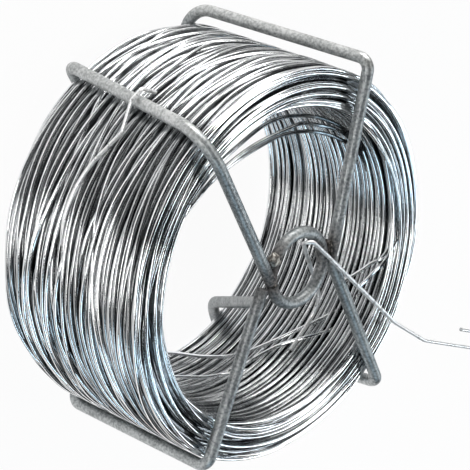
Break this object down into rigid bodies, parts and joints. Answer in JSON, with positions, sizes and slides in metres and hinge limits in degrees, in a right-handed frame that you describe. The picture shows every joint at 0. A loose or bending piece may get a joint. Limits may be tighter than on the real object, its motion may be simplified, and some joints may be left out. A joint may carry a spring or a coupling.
{
  "type": "coil of galvanized wire",
  "caption": "Coil of bright galvanized wire held in a carrier bent from round rod, with a guide ring at the front through which the free end is drawn.",
  "frame": {"origin": "centre of the coil, on its axis and midway along its nominal width", "axes": "+Z up along the coil's axis, from its back end to the guide ring, +X to the right and +Y up as seen from the front end"},
  "size_m": [0.1157, 0.1026, 0.0618],
  "materials": {
    "galvanized_wire": "bright zinc-coated drawn wire",
    "carrier_rod": "dull grey zinc-coated rod, slightly grainy"
  },
  "bodies": {
    "root": {"wire_coil": "galvanized_wire", "wire_tail": "galvanized_wire", "tied_wire_end": "galvanized_wire", "guide_ring": "carrier_rod", "upper_left_arm": "carrier_rod", "lower_left_arm": "carrier_rod", "right_arms": "carrier_rod"}
  },
  "joints": []
}
